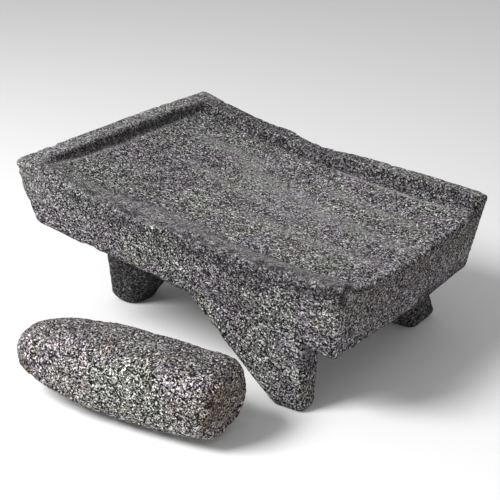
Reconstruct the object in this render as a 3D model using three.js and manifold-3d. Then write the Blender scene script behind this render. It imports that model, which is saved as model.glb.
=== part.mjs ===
// A metate with its mano: a sloping, three-legged grinding slab carved from one block of
// basalt, and the loose hand stone that is pushed along it.
// Millimetres, +Z up, standing on z = 0. X runs along the slab, from its high closed end
// to its low open end, and Y across it.
import * as THREE from 'three';
import { mergeVertices } from 'three/addons/utils/BufferGeometryUtils.js';
import Module from 'manifold-3d';

// The slab's outline.
const SLAB_LENGTH = 330;
const HIGH_END_WIDTH = 271;
const OPEN_END_WIDTH = 254;
const BATTER = 11.5; // how far each wall leans in between the rim and the underside
const CORNER_RADIUS = 4;
const RIM_EDGE = 2.5; // chamfer round the top
const BELLY_EDGE = 4; // chamfer round the underside

// Heights above the ground.
const RIM_AT_HIGH_END = 168;
const RIM_AT_MIDDLE = 138.5;
const RIM_AT_OPEN_END = 127;
const UNDERSIDE_AT_HIGH_END = 105.5;
const UNDERSIDE_AT_OPEN_END = 56;
const BELLY = 4; // the underside hangs this much lower along its middle

// The grinding trough, sunk between three rims and open at the low end. Each pair holds at the
// high end and at the open end. Years of strokes have worn the near wall to a broad flank.
const END_RIM_WIDTH = 15;
const END_WALL_RUN = 3;
const TROUGH_DEPTH = [7.5, 17]; // along the middle
const NEAR_SIDE = { rim: [9, 6], wallRun: [27, 28], depth: [4, 13] };
const FAR_SIDE = { rim: [20, 12], wallRun: [3, 12], depth: [6.5, 10] };

// Grid of the slab's faces.
const FLOOR_STEPS_ALONG = 10;
const FLOOR_STEPS_ACROSS = 5; // from a rim's foot to the middle line
const WALL_STEPS = 3;
const RIM_LINES = 3; // grid lines that lie on a rim before the trough starts

// Legs: each section is a round-cornered rectangle at height z, from the sole up into the
// slab. Two stand under the corners of the open end and one under the high end.
const NEAR_LEG = [
  { z: 0, x: [95, 122], y: [-113, -99], round: 6 },
  { z: 5, x: [91, 125], y: [-116, -96], round: 7 },
  { z: 50, x: [41, 125], y: [-118.5, -88], round: 7 },
  { z: 90, x: [-3, 125], y: [-118.5, -78], round: 7 },
];
const FAR_LEG = [
  { z: 0, x: [89, 122], y: [76, 113], round: 8 },
  { z: 5, x: [85, 125], y: [72, 117], round: 9 },
  { z: 50, x: [44, 118], y: [72, 105], round: 9 },
  { z: 90, x: [4, 118], y: [66, 105], round: 9 },
];
const HIGH_LEG = [
  { z: 0, x: [-149, -117], y: [-34, 2], round: 14 },
  { z: 7, x: [-154, -112], y: [-39, 7], round: 16 },
  { z: 60, x: [-155, -80], y: [-45, 36], round: 16 },
  { z: 112, x: [-151, -48], y: [-46, 42], round: 16 },
];
const LEG_CORNER_STEPS = 2;

// The hand stone, lying on the ground beside the slab.
const MANO_LENGTH = 213;
const MANO_WIDTH = 71;
const MANO_HEIGHT = 71;
const MANO_CENTRE = { x: 5, y: -195.5 };
const MANO_TURN = THREE.MathUtils.degToRad(5.7);
const MANO_RINGS = 18;
const MANO_SIDES = 24;
const MANO_SECTION_POWER = 2.1; // 2 is an ellipse, larger is squarer
const MANO_END_POWER = { round: 2.5, blunt: 4.4 };
const MANO_TAPER = 0.04; // the round end is this share thicker than the middle

const wasm = await Module();
wasm.setup();

const lerp = THREE.MathUtils.lerp;

// Rim height at a distance along the slab: a parabola through its two ends and its middle.
function rimHeight(along) {
  const t = (2 * along) / SLAB_LENGTH - 1;
  const slope = (RIM_AT_OPEN_END - RIM_AT_HIGH_END) / 2;
  const sag = (RIM_AT_OPEN_END + RIM_AT_HIGH_END) / 2 - RIM_AT_MIDDLE;
  return RIM_AT_MIDDLE + slope * t + sag * t * t;
}

// The value at a distance along the slab of a pair given at its two ends.
function between([high, open], along) {
  return lerp(high, open, along / SLAB_LENGTH);
}

function halfWidth(along) {
  return between([HIGH_END_WIDTH, OPEN_END_WIDTH], along) / 2;
}

function evenSteps(from, to, steps) {
  return Array.from({ length: steps + 1 }, (_, i) => lerp(from, to, i / steps));
}

// Grid lines along the slab, as distances from the high end.
function linesAlong() {
  const foot = END_RIM_WIDTH + END_WALL_RUN;
  const floor = evenSteps(foot, SLAB_LENGTH - CORNER_RADIUS, FLOOR_STEPS_ALONG);
  return [0, CORNER_RADIUS, END_RIM_WIDTH, ...floor, SLAB_LENGTH];
}

// Grid lines across half the slab, as distances in from its side.
function linesAcross(along, side) {
  const crest = between(side.rim, along);
  const foot = crest + between(side.wallRun, along);
  return [0, CORNER_RADIUS, crest, ...evenSteps(foot, halfWidth(along), FLOOR_STEPS_ACROSS)];
}

// The floor rises in a shallow curve from the middle to the foot of each side wall.
function troughDepth(along, side, acrossShare) {
  return lerp(between(TROUGH_DEPTH, along), between(side.depth, along), acrossShare ** 2);
}

// Pulls a point near a plan corner onto the corner's round.
function roundCorner(point, halfX, halfY) {
  const dx = Math.abs(point.x) - (halfX - CORNER_RADIUS);
  const dy = Math.abs(point.y) - (halfY - CORNER_RADIUS);
  if (dx <= 0 || dy <= 0) {
    return;
  }
  const pull = Math.max(dx, dy) / Math.hypot(dx, dy);
  point.x = Math.sign(point.x) * (halfX - CORNER_RADIUS + dx * pull);
  point.y = Math.sign(point.y) * (halfY - CORNER_RADIUS + dy * pull);
}

// One vertex of the slab from its place (i, j, level) in the box grid.
function slabPoint(i, j, level, along, levels) {
  const middle = RIM_LINES + FLOOR_STEPS_ACROSS;
  const side = j < middle ? NEAR_SIDE : FAR_SIDE;
  const across = linesAcross(along[i], side);
  const fromSide = Math.min(j, 2 * middle - j);
  const half = halfWidth(along[i]);
  const y = Math.sign(j - middle) * (half - across[fromSide]);
  const inTrough = i >= RIM_LINES && fromSide >= RIM_LINES;
  const floorHalf = half - across[RIM_LINES];
  const top = rimHeight(along[i]) - (inTrough ? troughDepth(along[i], side, y / floorHalf) : 0);
  const belly = BELLY * (1 - (y / half) ** 2);
  const bottom = between([UNDERSIDE_AT_HIGH_END, UNDERSIDE_AT_OPEN_END], along[i]) - belly;

  const onTop = level === levels;
  const onBottom = level === 0;
  const share = onTop ? 1 : onBottom ? 0 : (level - 1) / (levels - 2);
  const edge = onTop ? RIM_EDGE : onBottom ? BELLY_EDGE : 0;
  const rise = onTop ? top : onBottom ? bottom : lerp(bottom + BELLY_EDGE, top - RIM_EDGE, share);
  const lean = BATTER * (1 - share);
  const halfX = SLAB_LENGTH / 2 - lean - edge;
  const halfY = half - lean - edge;
  const x = (along[i] / SLAB_LENGTH - 0.5) * 2;
  const point = new THREE.Vector3(x * halfX, (y / half) * halfY, rise);
  roundCorner(point, halfX, halfY);
  return point;
}

// The slab without legs: a box grid with each vertex moved to its place.
function slabGeometry() {
  const along = linesAlong();
  const alongSteps = along.length - 1;
  const acrossSteps = 2 * (RIM_LINES + FLOOR_STEPS_ACROSS);
  const levels = WALL_STEPS + 2;
  const geometry = new THREE.BoxGeometry(1, 1, 1, alongSteps, acrossSteps, levels);
  const position = geometry.attributes.position;
  for (let n = 0; n < position.count; n += 1) {
    const i = Math.round((position.getX(n) + 0.5) * alongSteps);
    const j = Math.round((position.getY(n) + 0.5) * acrossSteps);
    const level = Math.round((position.getZ(n) + 0.5) * levels);
    const point = slabPoint(i, j, level, along, levels);
    position.setXYZ(n, point.x, point.y, point.z);
  }
  return geometry;
}

// A closed skin over a stack of rings that all run the same way round.
function loft(rings) {
  const count = rings[0].length;
  const last = rings.length - 1;
  const centre = (ring) => ring.reduce((sum, p) => sum.add(p), new THREE.Vector3()).divideScalar(count);
  const points = [...rings.flat(), centre(rings[0]), centre(rings[last])];
  const startCap = points.length - 2;
  const endCap = points.length - 1;
  const index = [];
  for (let n = 0; n < count; n += 1) {
    const next = (n + 1) % count;
    index.push(startCap, next, n, endCap, last * count + n, last * count + next);
    for (let r = 0; r < last; r += 1) {
      const a = r * count + n;
      const b = r * count + next;
      index.push(a, b, b + count, a, b + count, a + count);
    }
  }
  const geometry = new THREE.BufferGeometry().setFromPoints(points);
  geometry.setIndex(index);
  return geometry;
}

// One leg's horizontal section, counterclockwise.
function legRing({ z, x, y, round }) {
  const corners = [[x[1], y[0]], [x[1], y[1]], [x[0], y[1]], [x[0], y[0]]];
  const shape = new THREE.Shape();
  corners.forEach(([cornerX, cornerY], turn) => {
    const centreX = cornerX - Math.sign(cornerX - x[0] - x[1] + cornerX) * round;
    const centreY = cornerY - Math.sign(cornerY - y[0] - y[1] + cornerY) * round;
    const start = (turn - 1) * (Math.PI / 2);
    shape.absarc(centreX, centreY, round, start, start + Math.PI / 2);
  });
  const outline = shape.getPoints(LEG_CORNER_STEPS);
  return outline.map((p) => new THREE.Vector3(p.x, p.y, z));
}

function legGeometry(sections) {
  return loft(sections.map(legRing));
}

function toSolid(geometry) {
  geometry.deleteAttribute('normal');
  geometry.deleteAttribute('uv');
  const merged = mergeVertices(geometry, 1e-4);
  const vertProperties = new Float32Array(merged.attributes.position.array);
  const triVerts = new Uint32Array(merged.index.array);
  return new wasm.Manifold(new wasm.Mesh({ numProp: 3, vertProperties, triVerts }));
}

function fromSolid(solid) {
  const { vertProperties, triVerts } = solid.getMesh();
  const geometry = new THREE.BufferGeometry();
  geometry.setAttribute('position', new THREE.BufferAttribute(new Float32Array(vertProperties), 3));
  geometry.setIndex(new THREE.BufferAttribute(new Uint32Array(triVerts), 1));
  geometry.computeVertexNormals();
  return geometry;
}

// Slab and legs are one stone, as they are carved.
function metateGeometry() {
  const legs = [NEAR_LEG, FAR_LEG, HIGH_LEG].map((sections) => toSolid(legGeometry(sections)));
  return fromSolid(legs.reduce((block, leg) => block.add(leg), toSolid(slabGeometry())));
}

// The hand stone along X: a bar of nearly square section whose ends close in a round.
function manoGeometry() {
  const rings = [];
  for (let r = 1; r < MANO_RINGS; r += 1) {
    const s = -Math.cos((Math.PI * r) / MANO_RINGS);
    const power = s < 0 ? MANO_END_POWER.round : MANO_END_POWER.blunt;
    const size = (1 - MANO_TAPER * s) * (1 - Math.abs(s) ** power) ** (1 / power);
    const ring = [];
    for (let n = 0; n < MANO_SIDES; n += 1) {
      const angle = (2 * Math.PI * n) / MANO_SIDES;
      const [c, d] = [Math.cos(angle), Math.sin(angle)];
      const y = Math.sign(c) * Math.abs(c) ** (2 / MANO_SECTION_POWER) * (MANO_WIDTH / 2);
      const z = Math.sign(d) * Math.abs(d) ** (2 / MANO_SECTION_POWER) * (MANO_HEIGHT / 2);
      ring.push(new THREE.Vector3((s * MANO_LENGTH) / 2, y * size, z * size));
    }
    rings.push(ring);
  }
  const geometry = loft(rings);
  geometry.computeVertexNormals();
  return geometry;
}

function stone(name, geometry, color) {
  const material = new THREE.MeshStandardMaterial({ color, roughness: 0.93, metalness: 0 });
  const mesh = new THREE.Mesh(geometry, material);
  mesh.name = name;
  return mesh;
}

const metate = stone('metate', metateGeometry(), 0x67666a);
const mano = stone('mano', manoGeometry(), 0x7f7b7a);
mano.geometry.computeBoundingBox();
mano.rotation.z = MANO_TURN;
mano.position.set(MANO_CENTRE.x, MANO_CENTRE.y, -mano.geometry.boundingBox.min.z);

// The pair stands on z = 0 with the origin under the middle of its box.
const pair = new THREE.Group();
pair.add(metate, mano);
const middle = new THREE.Box3().setFromObject(pair, true).getCenter(new THREE.Vector3());
pair.position.set(-middle.x, -middle.y, 0);

export default pair;
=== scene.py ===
"""A three-legged basalt metate with its mano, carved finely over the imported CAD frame.

The two CAD stones give place, size and overall shape. Each is copied, remeshed evenly,
softened, and then worked like the real stone: broad unevenness from the mason's hand, pecked
dents, worn rims, chipped edges and open pores. Blender's lengths are metres, in the frame's
own axes. Lengths on the stones are written in millimetres and multiplied by MM where used.
"""
import math
from collections import namedtuple
from types import SimpleNamespace

import bpy
import numpy as np
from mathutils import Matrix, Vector, noise
from mathutils.kdtree import KDTree


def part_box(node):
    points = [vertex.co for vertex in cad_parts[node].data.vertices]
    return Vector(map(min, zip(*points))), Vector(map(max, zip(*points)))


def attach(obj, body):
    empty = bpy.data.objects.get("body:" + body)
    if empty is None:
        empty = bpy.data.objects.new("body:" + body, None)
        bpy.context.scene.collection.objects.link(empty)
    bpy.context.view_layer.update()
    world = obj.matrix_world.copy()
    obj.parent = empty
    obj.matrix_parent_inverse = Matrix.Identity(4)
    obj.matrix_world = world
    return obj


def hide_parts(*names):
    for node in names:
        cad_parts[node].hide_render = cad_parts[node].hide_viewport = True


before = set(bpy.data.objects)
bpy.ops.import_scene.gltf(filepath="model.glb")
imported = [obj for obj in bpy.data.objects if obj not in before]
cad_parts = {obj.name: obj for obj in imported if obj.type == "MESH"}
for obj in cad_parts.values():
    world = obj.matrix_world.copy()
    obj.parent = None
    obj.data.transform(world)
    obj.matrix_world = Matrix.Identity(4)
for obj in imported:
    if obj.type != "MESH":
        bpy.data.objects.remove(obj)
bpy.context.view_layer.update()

MM = 0.001
SLAB_LOW, SLAB_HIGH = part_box("metate")
SLAB_MIDDLE = Vector(((SLAB_LOW.x + SLAB_HIGH.x) / 2, (SLAB_LOW.y + SLAB_HIGH.y) / 2, 0))
SLAB_HALF = (SLAB_HIGH - SLAB_LOW) / 2
MANO_LOW, MANO_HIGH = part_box("mano")
MANO_MIDDLE = (MANO_LOW + MANO_HIGH) / 2
MANO_TURN = math.radians(5.7)

# Places on the slab, in millimetres from its middle: X runs from the high end to the open end,
# Y from the near side to the far side. Each pair holds at the high end and at the open end.
HIGH_END, OPEN_END = -SLAB_HALF.x / MM, SLAB_HALF.x / MM
SLAB_SIDE = (135.5, 127)
NEAR_CREST, NEAR_FOOT = (126.5, 121), (99.5, 93)
FAR_CREST, FAR_FOOT = (115.5, 115), (112.5, 103)

# The wall across the high end stands between these two places in X.
END_CREST, END_FOOT = -150, -147

# How far the hand-cut rim stands above or below the straight line, as (X, rise).
NEAR_RIM_RISE = ((-165, 0), (-127, 1.6), (-67, -1.6), (-21, -3.2), (1, 1.2), (36, -0.5),
                 (92, -1.5), (165, 0))
FAR_RIM_RISE = ((-165, 0), (-98, -1.6), (-53, 0), (-24, -2.5), (4, -0.5), (59, 1.7),
                (98, 3.0), (136, 2.0), (165, 0))
END_RIM_CROWN = 1.8

# The open end's far bottom corner is broken off along a plane through BREAK_AT, which is a
# place in Y and a depth below the rim. BREAK_NORMAL points out of the stone, across and down.
BREAK_AT = (112, 66)
BREAK_NORMAL = (0.8, 0.6)

# The high end bows out at its near corner, and the high leg is cut back on its inner side.
CORNER_BULGE = 6.5
HIGH_LEG_SLIMMING = 6.0

# The crease where the worn flank meets the floor, as (X, Y): carved in, and painted dark with shade.
NEAR_CREASE = ((-128, -116), (-110, -113), (-83, -103), (-50, -92), (-33, -89), (-15, -84),
               (10, -89), (35, -97), (63, -98), (100, -94), (140, -90))

# A mark is an ellipse round a centre, turned by some radians. Only damage has a depth.
Mark = namedtuple("Mark", "centre radii depth turn", defaults=(0.0, 0.0))
SPLIT = Mark((20, -125.5), (44, 5), 4.5, 0.02)
FLOOR_PIT = Mark((-46, 7), (9, 7), 1.9)
SMALL_PIT = Mark((41, 27), (5, 4), 1.2)
ERODED_RIM = Mark((-2, 123), (42, 13), 2.2)
CHIPS = (Mark((163, -84), (9, 13), 3), Mark((158, -104), (10, 10), 3), Mark((163, 108), (14, 16), 3))
WORN_PATH = Mark((50, 0), (230, 150), turn=-0.16)

# Pale streaks that the hand stone has rubbed along the floor: X and Y of both ends, and width.
STREAKS = ((-60, 50, 100, 4, 10), (-35, 30, 165, 3, 11), (-90, 8, 60, -12, 6),
           (10, -38, 150, -40, 9), (-120, 60, -20, 66, 8), (30, 62, 140, 48, 7))

# The hand stone's section is a superellipse, nearly round in CAD. The carved one is squarer,
# and a little smaller between its corners.
MANO_CAD_POWER, MANO_CARVED_POWER = 2.1, 3.2
MANO_CARVED_SCALE = 0.965

# A plane cuts the hand stone's blunt end: its direction along, across and up, and how far it
# is from the stone's middle.
MANO_CUT_NORMAL = (0.96, -0.10, -0.22)
MANO_CUT_AT = 94

# Brown stains, as places along the hand stone and in height above the ground.
MANO_STAINS = (Mark((102, 38), (24, 36)), Mark((-84, 30), (16, 18)))


def grey(level):
    """A neutral colour."""
    return level, level, level, 1


# ---------------------------------------------------------------- camera, floor and light

def place_camera():
    """From the open end's near corner, a little above, so that the trough shows."""
    azimuth, elevation = math.radians(35.4), math.radians(22.83)
    distance = 1.1169
    target = SLAB_MIDDLE + Vector((15.8, -35.9, 91.7)) * MM
    back = Vector((math.sin(azimuth) * math.cos(elevation),
                   -math.cos(azimuth) * math.cos(elevation),
                   math.sin(elevation)))
    data = bpy.data.cameras.new("camera")
    data.lens = 91.04
    data.sensor_width = 36
    camera = bpy.data.objects.new("camera", data)
    camera.location = target + back * distance
    camera.rotation_euler = back.to_track_quat("Z", "Y").to_euler()
    bpy.context.scene.collection.objects.link(camera)
    bpy.context.scene.camera = camera


def area_light(name, offset, power):
    data = bpy.data.lights.new(name, "AREA")
    data.shape = "SQUARE"
    data.size = 0.7
    data.energy = power
    light = bpy.data.objects.new(name, data)
    light.location = SLAB_MIDDLE + Vector(offset)
    light.rotation_euler = Vector(offset).to_track_quat("Z", "Y").to_euler()
    bpy.context.scene.collection.objects.link(light)


def light_studio():
    area_light("key", (-0.6, -1.15, 1.35), 45)
    area_light("fill", (1.3, -1.1, 0.5), 4)
    world = bpy.data.worlds.new("studio")
    world.use_nodes = True
    background = world.node_tree.nodes["Background"]
    background.inputs["Color"].default_value = grey(1)
    background.inputs["Strength"].default_value = 0.48
    bpy.context.scene.world = world
    bpy.context.scene.view_settings.view_transform = "Standard"


def lay_floor():
    """A wide pale plane, just under the stones' soles so that the two never share a plane."""
    mesh = bpy.data.meshes.new("floor")
    half = 40.0
    z = -0.2 * MM
    corners = [(-half, -half, z), (half, -half, z), (half, half, z), (-half, half, z)]
    mesh.from_pydata(corners, [], [(0, 1, 2, 3)])
    floor = bpy.data.objects.new("floor", mesh)
    bpy.context.scene.collection.objects.link(floor)
    material = bpy.data.materials.new("pale_floor")
    material.use_nodes = True
    shader = material.node_tree.nodes["Principled BSDF"]
    shader.inputs["Base Color"].default_value = grey(0.75)
    shader.inputs["Roughness"].default_value = 0.8
    mesh.materials.append(material)


# ---------------------------------------------------------------- a stone's skin, as a mesh

class Skin:
    """The points and normals of a finely meshed stone, while it is carved."""

    def __init__(self, node, name, voxel, softening):
        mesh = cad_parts[node].data.copy()
        mesh.materials.clear()
        self.piece = bpy.data.objects.new(name, mesh)
        bpy.context.scene.collection.objects.link(self.piece)
        remesh = self.piece.modifiers.new("remesh", "REMESH")
        remesh.mode = "VOXEL"
        remesh.voxel_size = voxel * MM
        soften = self.piece.modifiers.new("soften", "SMOOTH")
        soften.factor = 0.5
        soften.iterations = softening
        evaluated = self.piece.evaluated_get(bpy.context.evaluated_depsgraph_get())
        self.mesh = bpy.data.meshes.new_from_object(evaluated)
        self.piece.modifiers.clear()
        self.piece.data = self.mesh
        self.mesh.name = name
        self.points = self.read(self.mesh.vertices, "co")
        self.normals = self.read(self.mesh.vertex_normals, "vector")
        self.tree = KDTree(len(self.points))
        for index, point in enumerate(self.points):
            self.tree.insert(point, index)
        self.tree.balance()

    @staticmethod
    def read(items, key):
        values = np.empty(len(items) * 3)
        items.foreach_get(key, values)
        return values.reshape(-1, 3)

    def noise(self, size, octaves, seed):
        """Fractal noise, about -1 to 1, whose broadest lumps are `size` millimetres."""
        shift = Vector((seed * 7.31, seed * 3.17, seed * 5.73))
        places = self.points / (size * MM)
        return np.array([noise.fractal(Vector(p) + shift, 1.0, 2.0, octaves) for p in places])

    def proud(self, rounds):
        """How far each point stands out of its surroundings, in metres: positive on edges."""
        ends = np.empty(len(self.mesh.edges) * 2, int)
        self.mesh.edges.foreach_get("vertices", ends)
        a, b = ends.reshape(-1, 2).T
        count = np.bincount(ends, minlength=len(self.points))[:, None]
        smooth = self.points.copy()
        for _ in range(rounds):
            total = np.zeros_like(smooth)
            np.add.at(total, a, smooth[b])
            np.add.at(total, b, smooth[a])
            smooth = total / count
        return ((self.points - smooth) * self.normals).sum(1)

    def pits(self, count, reach, depth, seed):
        """Depth of open pores, in millimetres: round hollows scattered evenly over the skin."""
        rng = np.random.default_rng(seed)
        centres = self.points[rng.choice(len(self.points), count, replace=False)]
        hollow = np.zeros(len(self.points))
        for centre, size in zip(centres, rng.uniform(*reach, count)):
            for _, index, away in self.tree.find_range(centre, size * MM):
                share = 1 - (away / MM / size) ** 2
                hollow[index] = max(hollow[index], share * depth * size / reach[1])
        return hollow

    def push(self, distance):
        """Moves each point out along its normal, by a distance in millimetres."""
        self.points += self.normals * distance[:, None] * MM

    def write(self, **masks):
        """Puts the points back, none below the ground, and stores masks for the material."""
        self.points[:, 2] = np.maximum(self.points[:, 2], 0)
        self.mesh.vertices.foreach_set("co", self.points.ravel())
        for name, mask in masks.items():
            layer = self.mesh.attributes.new(name, "FLOAT", "POINT")
            layer.data.foreach_set("value", np.clip(mask, 0, 1))
        self.mesh.polygons.foreach_set("use_smooth", [True] * len(self.mesh.polygons))
        self.mesh.update()
        return self.piece


def smoothstep(low, high, value):
    """0 at `low` and 1 at `high`, which may be the smaller of the two."""
    t = np.clip((value - low) / (high - low), 0, 1)
    return t * t * (3 - 2 * t)


def spot(x, y, mark):
    """1 at the mark's centre, falling to 0 round its ellipse."""
    c, s = math.cos(mark.turn), math.sin(mark.turn)
    u = (x - mark.centre[0]) * c + (y - mark.centre[1]) * s
    v = (y - mark.centre[1]) * c - (x - mark.centre[0]) * s
    return 1 - smoothstep(0.0, 1.0, np.hypot(u / mark.radii[0], v / mark.radii[1]))


def dent(x, y, mark):
    """How deep the mark's damage is, in millimetres."""
    return spot(x, y, mark) * mark.depth


def line(offset, width):
    """1 where the offset from a line is 0, falling off over `width`."""
    return np.exp(-(offset / width) ** 2)


def streak(x, y, x0, y0, x1, y1, width):
    """A line from one point to another, fading at both ends."""
    length = math.hypot(x1 - x0, y1 - y0)
    u = ((x - x0) * (x1 - x0) + (y - y0) * (y1 - y0)) / length
    v = ((y - y0) * (x1 - x0) - (x - x0) * (y1 - y0)) / length
    return smoothstep(-15, 15, u) * smoothstep(length + 15, length - 15, u) * line(v, width)


def along(x, stations):
    """A value given at stations along X."""
    places, values = zip(*stations)
    return np.interp(x, places, values)


# ---------------------------------------------------------------- metate

def locate(skin):
    """Where each point is on the metate: places in millimetres, and masks from 0 to 1."""
    at = SimpleNamespace()
    at.x = (skin.points[:, 0] - SLAB_MIDDLE.x) / MM
    at.y = (skin.points[:, 1] - SLAB_MIDDLE.y) / MM
    at.facing_open_end = skin.normals[:, 0]
    at.up = skin.normals[:, 2]
    at.proud = skin.proud(12) / MM
    at.edge = np.clip(at.proud, 0, 1)
    ends = (HIGH_END, OPEN_END)
    at.side = np.interp(at.x, ends, SLAB_SIDE)
    at.near_crest = np.interp(at.x, ends, NEAR_CREST)
    at.far_crest = np.interp(at.x, ends, FAR_CREST)
    at.far_foot = np.interp(at.x, ends, FAR_FOOT)

    # How far each point is below the rim's top at the same place along the slab.
    z = skin.points[:, 2] / MM
    columns = np.linspace(HIGH_END, OPEN_END, 34)
    rim_tops = [z[np.abs(at.x - column) < 6].max() for column in columns]
    at.sunk = np.interp(at.x, columns, rim_tops) - z

    at.upper = smoothstep(32, 6, at.sunk)
    at.on_top = smoothstep(0.35, 0.6, at.up) * at.upper
    at.on_near = smoothstep(np.interp(at.x, ends, NEAR_FOOT), at.near_crest, -at.y)
    at.on_far = smoothstep(at.far_foot, at.far_crest, at.y)
    at.on_end = smoothstep(END_FOOT, END_CREST, at.x)
    at.in_trough = at.upper * (1 - at.on_end) * (1 - at.on_near) * (1 - at.on_far)
    at.on_floor = at.in_trough * smoothstep(0.35, 0.6, at.up)
    at.on_legs = smoothstep(56, 72, at.sunk)
    return at


def shape_slab(skin, at):
    """What the mason's hand and age did to whole regions of the stone."""
    rise = np.where(at.y < 0, at.on_near * along(at.x, NEAR_RIM_RISE),
                    at.on_far * along(at.x, FAR_RIM_RISE))
    crown = END_RIM_CROWN * (1 - (at.y / at.side) ** 2)
    skin.points[:, 2] += at.upper * (rise * (1 - at.on_end) + at.on_end * crown) * MM

    across, down = BREAK_NORMAL
    beyond = np.maximum(0, across * (at.y - BREAK_AT[0]) + down * (at.sunk - BREAK_AT[1]))
    broken_off = beyond * smoothstep(95, 155, at.x) * smoothstep(100, 80, at.sunk)
    skin.points[:, 1:] += np.outer(broken_off, (-across, down)) * MM

    bulge = smoothstep(45, 0, at.y + at.side) * smoothstep(-120, HIGH_END, at.x)
    bulge = bulge * smoothstep(90, 45, at.sunk) * smoothstep(-8, 30, at.sunk)
    skin.points[:, 0] -= CORNER_BULGE * bulge * MM

    slimmer = smoothstep(-140, -105, at.x) * smoothstep(-25, -60, at.x) * smoothstep(48, 64, at.sunk)
    skin.points[:, 0] -= HIGH_LEG_SLIMMING * slimmer * MM


def damage_depths(at, ragged):
    """Depths in millimetres of the split behind the near edge, of the floor's pit and of all."""
    split = dent(at.x, at.y + ragged, SPLIT) * at.upper
    floor_pit = dent(at.x + ragged, at.y, FLOOR_PIT) * at.on_floor
    small_pit = dent(at.x, at.y + ragged, SMALL_PIT) * at.on_floor
    eroded = dent(at.x, at.y + 2 * ragged, ERODED_RIM) * at.on_top * at.on_far
    chipped = sum(dent(at.x, at.y, chip) for chip in CHIPS) * at.upper * at.edge
    return split, floor_pit, split + floor_pit + small_pit + eroded + chipped


def near_crease(at, ragged, broken):
    """The crease under the worn flank: a mask for its depth and for its painted shade."""
    crease = line(at.y - along(at.x, NEAR_CREASE) + 2 * ragged, 4.0) * broken * at.in_trough
    return crease * smoothstep(-135, -115, at.x) * smoothstep(150, 120, at.x)


def scraped_lines(at, ragged, broken):
    """The pale edges that the chisel left at the foot of the far wall and of the end wall."""
    far_line = line(at.y - at.far_foot + 8 + 0.5 * ragged, 2.4) * at.upper * broken
    far_line = far_line * smoothstep(10, 35, at.x) * smoothstep(150, 135, at.x)
    end_line = line(at.x - END_FOOT - 4 + 0.5 * ragged, 1.8) * at.upper * broken
    end_line = end_line * smoothstep(-116, -104, at.y) * smoothstep(100, 60, at.y)
    return np.maximum(far_line, end_line)


def metate_wear(at, ragged):
    """Where the hand stone and hands have rubbed the grains down."""
    streaks = sum(streak(at.x, at.y + ragged, *ends_and_width) for ends_and_width in STREAKS)
    floor = at.on_floor * (0.1 * spot(at.x, at.y, WORN_PATH) + 0.9 * np.clip(streaks, 0, 1))
    past_crease = along(at.x, NEAR_CREASE) - at.y + 2 * ragged
    flank = smoothstep(-5, 4, past_crease) * smoothstep(-140, -90, at.x)
    far_rim = smoothstep(at.far_crest + 1, at.far_crest + 4, at.y) * smoothstep(20, 70, at.x)
    handled = smoothstep(-115, -150, at.x) * (1 - at.on_floor) * smoothstep(45, 25, at.sunk)
    return np.maximum.reduce([floor, 0.6 * flank * at.on_top, 0.3 * far_rim * at.on_top,
                              0.5 * handled])


def grime_above(skin, at, crease, broken, scraped):
    """Painted shade on the upper side: under the walls, in the corners and along the edges."""
    # Painted shade on the far wall's inner face.
    low = np.maximum(at.far_foot - 6, at.far_crest - 14)
    far_wall = smoothstep(low - 3, low + 2, at.y) * (at.x > END_FOOT - 4)
    far_wall = far_wall * smoothstep(at.far_crest, at.far_crest - 4, at.y)
    # Painted shade on the end wall's inner face.
    end_wall = smoothstep(END_FOOT + 6, END_FOOT + 2, at.x) * (at.y < at.far_crest + 2)
    end_wall = end_wall * smoothstep(END_CREST - 0.5, END_CREST + 1.5, at.x)
    end_wall = end_wall * smoothstep(-122, -100, at.y)
    # Painted shade in the trough along its far side and at its high end.
    corner = np.maximum(smoothstep(85, 115, at.y), smoothstep(-125, END_FOOT, at.x)) * at.in_trough
    # A painted shadow line along the open end's top edge.
    lip_shadow = smoothstep(156, 161, at.x) * smoothstep(0.05, 0.25, at.up) * smoothstep(0.95, 0.8, at.up)
    # Painted shade along the near crest, in patches.
    near_edge = line(at.y + at.near_crest + 2, 7) * smoothstep(-130, -100, at.x)
    near_edge = near_edge * (0.35 + 0.65 * smoothstep(-0.3, 0.3, skin.noise(9, 2, 25)))
    # Darker towards the high end, and on the far side towards the high end.
    dull = 0.22 * smoothstep(20, -120, at.x) + 0.3 * at.on_far * smoothstep(60, 20, at.x)
    # The crease is painted dark with shade too; the scraped lines are left pale.
    grime = np.maximum.reduce([0.7 * far_wall, 0.85 * end_wall, 0.25 * corner, 0.9 * crease,
                               0.9 * lip_shadow * broken, near_edge, dull * (1 - at.on_end)])
    return grime * at.upper * (1 - scraped)


def grime_below(at, split, floor_pit):
    """Painted shade on the legs, under the slab, on its sides, in its hollows and in the damage."""
    # Painted shade on faces turned down, and in hollows below the rim.
    underside = smoothstep(-0.35, -0.75, at.up)
    hollow = smoothstep(0.3, 1.4, -at.proud) * smoothstep(30, 45, at.sunk)
    # Painted shade on the side faces, stronger towards the high end.
    sides = (at.up < 0.5) * (0.04 + 0.10 * smoothstep(-20, -90, at.x))
    # Painted shade over the legs under the slab, and on the legs' faces towards the open end.
    high_leg = at.on_legs * (at.x < -20)
    far_leg = at.on_legs * (at.y > 20)
    leg_ends = at.on_legs * (at.facing_open_end > 0.5)
    # Painted shade also darkens the split and the floor's pit.
    return np.maximum.reduce([0.5 * underside, 0.9 * hollow, sides, high_leg, 0.8 * far_leg,
                              0.3 * leg_ends, 0.25 * split, 0.4 * floor_pit])


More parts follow.
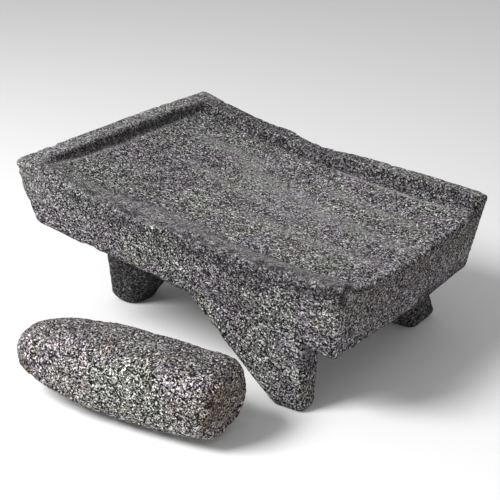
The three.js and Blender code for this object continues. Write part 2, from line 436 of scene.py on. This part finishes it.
def metate_surface(skin, at, worn):
    """How far the pecked surface stands off the smooth shape, in millimetres."""
    lumps = skin.noise(75, 2, 1) * 0.8 + skin.noise(24, 1, 6) * 0.4
    pecks = -np.abs(skin.noise(7, 2, 2)) * 0.65
    grit = skin.noise(4.0, 1, 3) * 0.28
    nicks = at.edge * smoothstep(0.30, 0.65, skin.noise(13, 2, 4)) * 1.2
    pores = skin.pits(300, (2.2, 4.2), 1.4, 5)
    rough = (pecks + grit - pores) * (1 - 0.6 * worn) * (1 - 0.5 * at.edge)
    swell = 0.45 + 0.7 * np.clip(at.proud, -1.5, 1.5)
    return swell + lumps * (1 - 0.5 * worn) + rough - nicks


def carve_metate():
    skin = Skin("metate", "metate_stone_body", voxel=1.86, softening=3)
    at = locate(skin)
    shape_slab(skin, at)

    ragged = skin.noise(7, 2, 21) * 1.5
    broken = 0.5 + 0.5 * smoothstep(-0.15, 0.35, skin.noise(16, 2, 24))
    split, floor_pit, damage = damage_depths(at, ragged)
    crease = near_crease(at, ragged, broken)
    scraped = scraped_lines(at, ragged, broken)
    worn = metate_wear(at, ragged)
    # Painted shade: darker under the walls, in corners and creases, under the slab and on the legs.
    grime = np.maximum(grime_above(skin, at, crease, broken, scraped),
                       grime_below(at, split, floor_pit))
    end_face_stain = 0.35 * smoothstep(156, 163, at.x) * smoothstep(0.4, 0.1, at.up)

    skin.push(metate_surface(skin, at, worn) - damage - crease)
    return skin.write(worn=worn, grime=grime, scraped=scraped, stain=end_face_stain)


# ---------------------------------------------------------------- mano

def square_up(skin, u, v, w):
    """Makes the hand stone squarer than its CAD solid, with a flat cut across its blunt end.

    u runs along the stone to its blunt end, v across it and w up, in millimetres from its middle.
    """
    angle = np.arctan2(w, v)
    level, upright = np.abs(np.cos(angle)), np.abs(np.sin(angle))

    def reach(power):
        """How far a superellipse of this power goes in the point's direction."""
        return (level ** power + upright ** power) ** (-1 / power)

    squarer = MANO_CARVED_SCALE * reach(MANO_CARVED_POWER) / reach(MANO_CAD_POWER)
    squarer = 1 + (squarer - 1) * smoothstep(-85, -20, u) * smoothstep(-36, 10, w)
    swollen = 1 + 0.09 * smoothstep(60, 95, u) * smoothstep(-36, 15, w)
    growth = squarer * swollen - 1
    normal = MANO_CUT_NORMAL
    cut = np.maximum(0, normal[0] * u + normal[1] * v + normal[2] * w - MANO_CUT_AT)
    settled = 1.0 * smoothstep(-85, -20, u)

    c, s = math.cos(MANO_TURN), math.sin(MANO_TURN)
    skin.points[:, 0] += (-v * growth * s - cut * normal[0]) * MM
    skin.points[:, 1] += (v * growth * c - cut * normal[1]) * MM
    skin.points[:, 2] += (w * growth - cut * normal[2] - settled) * MM


def carve_mano():
    skin = Skin("mano", "mano_stone_body", voxel=1.25, softening=4)
    c, s = math.cos(MANO_TURN), math.sin(MANO_TURN)
    from_middle = (skin.points - np.array(MANO_MIDDLE)) / MM
    u = from_middle[:, 0] * c + from_middle[:, 1] * s
    v = from_middle[:, 1] * c - from_middle[:, 0] * s
    z = skin.points[:, 2] / MM
    up = skin.normals[:, 2]
    towards_blunt_end = skin.normals[:, 0] * c + skin.normals[:, 1] * s
    square_up(skin, u, v, from_middle[:, 2])

    lumps = skin.noise(48, 2, 11) * 1.1 + skin.noise(20, 2, 18) * 0.8
    pecks = -np.abs(skin.noise(7, 2, 12)) * 0.8
    grit = skin.noise(3.2, 2, 13) * 0.40
    pores = skin.pits(260, (1.8, 5.0), 2.2, 15)
    lifted_underside = smoothstep(20, -90, u) * smoothstep(-0.1, -0.75, up) * 5.5
    blunt_ends = smoothstep(88, 102, np.abs(u)) * 2.0
    skin.push(0.45 + lumps + pecks + grit - pores - lifted_underside - blunt_ends)

    # The top is painted darker with shade, through the wear and shade masks.
    top = smoothstep(0.70, 0.95, up) * (0.75 + 0.25 * skin.noise(18, 2, 17))
    stain = 1.2 * sum(spot(u, z, mark) for mark in MANO_STAINS)
    stain = stain * smoothstep(0.1, 0.5, 0.5 + 0.5 * skin.noise(20, 2, 16))
    # The face towards the blunt end is painted darker brown: partly stain, partly painted shade.
    stain = np.maximum(stain, 0.4 * smoothstep(0.35, 0.6, towards_blunt_end))
    return skin.write(worn=0.35 * top, grime=0.35 * top, stain=stain)


# ---------------------------------------------------------------- basalt material

class Nodes:
    """Small helper that adds and joins shader nodes."""

    def __init__(self, material):
        material.use_nodes = True
        self.tree = material.node_tree
        self.shader = self.tree.nodes["Principled BSDF"]

    def add(self, kind, **settings):
        node = self.tree.nodes.new(kind)
        for key, value in settings.items():
            setattr(node, key, value)
        return node

    def feed(self, socket, value):
        if isinstance(value, bpy.types.NodeSocket):
            self.tree.links.new(value, socket)
        else:
            socket.default_value = value

    def mask(self, name):
        """One of the masks that the skin carries."""
        return self.add("ShaderNodeAttribute", attribute_name=name).outputs["Fac"]

    def math(self, operation, a, b):
        node = self.add("ShaderNodeMath", operation=operation)
        self.feed(node.inputs[0], a)
        self.feed(node.inputs[1], b)
        return node.outputs[0]

    def times(self, first, *others):
        for other in others:
            first = self.math("MULTIPLY", first, other)
        return first

    def less(self, mask, strength):
        """A factor that is 1 where the mask is 0, and 1 - strength where it is 1."""
        return self.math("SUBTRACT", 1.0, self.times(mask, strength))

    def remap(self, value, low, high, to_low, to_high):
        node = self.add("ShaderNodeMapRange", interpolation_type="SMOOTHSTEP")
        for socket, item in zip(node.inputs, (value, low, high, to_low, to_high)):
            self.feed(socket, item)
        return node.outputs[0]

    def noise(self, vector, size, detail, roughness=0.5):
        node = self.add("ShaderNodeTexNoise")
        self.feed(node.inputs["Vector"], vector)
        node.inputs["Scale"].default_value = 1 / size
        node.inputs["Detail"].default_value = detail
        node.inputs["Roughness"].default_value = roughness
        return node

    def warped(self, vector, size, amount):
        """The same place, shifted by noise, so that cells get crooked edges."""
        wobble = self.noise(vector, size, 2)
        shifted = self.add("ShaderNodeVectorMath", operation="MULTIPLY_ADD")
        self.feed(shifted.inputs[0], wobble.outputs["Color"])
        self.feed(shifted.inputs[1], (amount,) * 3)
        self.feed(shifted.inputs[2], vector)
        return shifted.outputs[0]

    def cells(self, vector, size):
        """Angular grains: random numbers for each, and the distance from its middle."""
        node = self.add("ShaderNodeTexVoronoi")
        self.feed(node.inputs["Vector"], vector)
        node.inputs["Scale"].default_value = 1 / size
        parts = self.add("ShaderNodeSeparateColor")
        self.feed(parts.inputs[0], node.outputs["Color"])
        return parts.outputs, node.outputs["Distance"]

    def holes(self, vector, size, share, reach):
        """A mask of scattered round spots: `share` of the cells hold one, `reach` of a cell wide."""
        chance, distance = self.cells(vector, size)
        chosen = self.remap(chance[1], 1 - share - 0.02, 1 - share + 0.02, 0.0, 1.0)
        return self.times(chosen, self.remap(distance, reach * 0.7, reach, 1.0, 0.0))

    def steps(self, value, stops):
        """A curve from (place, height) stops."""
        node = self.add("ShaderNodeValToRGB")
        ramp = node.color_ramp
        while len(ramp.elements) < len(stops):
            ramp.elements.new(0.5)
        for element, (place, height) in zip(ramp.elements, stops):
            element.position = place
            element.color = grey(height)
        self.feed(node.inputs[0], value)
        return node.outputs[0]

    def mix(self, factor, a, b, blend="MIX"):
        node = self.add("ShaderNodeMix", data_type="RGBA", blend_type=blend)
        self.feed(node.inputs[0], factor)
        self.feed(node.inputs[6], a)
        self.feed(node.inputs[7], b)
        return node.outputs[2]


def basalt(name, grain, tone, crystals, wear_and_shade_tone):
    """Vesicular basalt: angular grains from near black to pale, with dark open pores.

    grain is the width of a common grain and tone the ground's colour. crystals is how pale the palest
    grains are, and the last argument is the tone of wear on the metate and of painted shade on the
    hand stone's top, against the ground.
    """
    material = bpy.data.materials.new(name)
    nodes = Nodes(material)
    place = nodes.add("ShaderNodeTexCoord").outputs["Object"]
    crooked = nodes.warped(place, grain * 0.8, grain * 1.2)
    chance, from_grain_middle = nodes.cells(crooked, grain)
    small_chance, _ = nodes.cells(crooked, grain * 0.7)
    clump = nodes.noise(place, grain * 6, 3, 0.6).outputs["Fac"]
    broad = nodes.noise(place, 60 * MM, 3, 0.55).outputs["Fac"]
    patch = nodes.noise(place, 22 * MM, 2).outputs["Fac"]
    blotch = nodes.noise(place, 14 * MM, 2).outputs["Fac"]
    pores = nodes.holes(crooked, grain * 2.2, 0.50, 0.42)
    # Masks: wear, which on the hand stone is painted shade on its top; painted shade; stains, with
    # painted shade on the hand stone's blunt end; scraped lines.
    worn, grime, stain, scraped = [nodes.mask(key) for key in ("worn", "grime", "stain", "scraped")]

    # How pale each grain is, then how wear, scraping, pores, stains and painted shade change that.
    spread = nodes.steps(chance[0], ((0.0, 0.0), (0.27, 0.0), (0.36, 0.28), (0.74, 0.50),
                                     (1.0, crystals)))
    speckle = nodes.steps(small_chance[0], ((0.0, 0.0), (0.22, 0.0), (0.28, 0.85), (1.0, 1.0)))
    brightening = 4.0
    value = nodes.times(spread, speckle, brightening, nodes.remap(clump, 0.3, 0.7, 0.82, 1.18),
                        nodes.remap(broad, 0.3, 0.7, 0.9, 1.1))
    # Mixes in pale wear on the metate, and painted shade on the hand stone's top.
    value = nodes.mix(nodes.times(worn, 0.50), value, grey(wear_and_shade_tone))
    value = nodes.mix(nodes.times(scraped, 0.85), value, grey(2.4))
    # Painted shade darkens the colour by up to 75 %, and stains with the hand stone's shaded end by up
    # to 45 %.
    value = nodes.times(value, nodes.less(pores, 0.92), nodes.less(grime, 0.75), nodes.less(stain, 0.45))

    # The ground's colour leans to purple, green or brown in patches.
    def leaning(*by):
        return (*(channel * factor for channel, factor in zip(tone, by)), 1)

    purple, plain = leaning(1.02, 0.96, 1.04), leaning(1.01, 1.01, 0.97)
    green, brown = leaning(0.97, 1.03, 0.95), leaning(1.15, 0.98, 0.80)
    tint = nodes.mix(nodes.remap(patch, 0.42, 0.64, 0.0, 1.0), purple, plain)
    tint = nodes.mix(nodes.remap(broad, 0.50, 0.64, 0.0, 0.9), tint, green)
    tint = nodes.mix(nodes.remap(blotch, 0.60, 0.72, 0.0, 0.7), tint, brown)
    # Wear turns green, and so does the painted shade on the hand stone's top.
    tint = nodes.mix(nodes.times(worn, 0.4), tint, green)
    # Painted shade is tinted purple.
    tint = nodes.mix(nodes.times(grime, 0.8), tint, purple)
    # Stains turn brown, and so does the painted shade on the hand stone's blunt end.
    tint = nodes.mix(nodes.times(stain, 0.8), tint, brown)
    nodes.feed(nodes.shader.inputs["Base Color"], nodes.mix(1.0, tint, value, "MULTIPLY"))

    # Pale crystals shine a little, and every grain stands up from its edges.
    nodes.feed(nodes.shader.inputs["Roughness"], nodes.remap(chance[0], 0.5, 1.0, 0.95, 0.70))
    nodes.shader.inputs["Specular IOR Level"].default_value = 0.3
    height = nodes.math("ADD", nodes.times(chance[0], 0.55), nodes.times(from_grain_middle, -0.8))
    height = nodes.math("ADD", height, nodes.times(clump, 1.4))
    height = nodes.math("SUBTRACT", height, nodes.times(pores, 1.1))
    bump = nodes.add("ShaderNodeBump")
    bump.inputs["Strength"].default_value = 0.9
    bump.inputs["Distance"].default_value = grain * 0.6
    nodes.feed(bump.inputs["Height"], nodes.times(height, nodes.less(worn, 0.5)))
    nodes.feed(nodes.shader.inputs["Normal"], bump.outputs[0])
    return material


# ---------------------------------------------------------------- the whole scene

def metate_basalt():
    return basalt("metate_basalt", grain=1.2 * MM, tone=(0.140, 0.1375, 0.1385), crystals=1.45,
                  wear_and_shade_tone=1.75)


def mano_basalt():
    """The hand stone is lighter, and painted shade makes its top darker rather than paler."""
    return basalt("mano_basalt", grain=1.2 * MM, tone=(0.170, 0.162, 0.162), crystals=1.5,
                  wear_and_shade_tone=0.6)


def finish_stone(piece, body, node, material):
    piece.data.materials.append(material)
    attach(piece, body)
    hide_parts(node)


place_camera()
lay_floor()
light_studio()
finish_stone(carve_metate(), "metate", "metate", metate_basalt())
finish_stone(carve_mano(), "mano", "mano", mano_basalt())
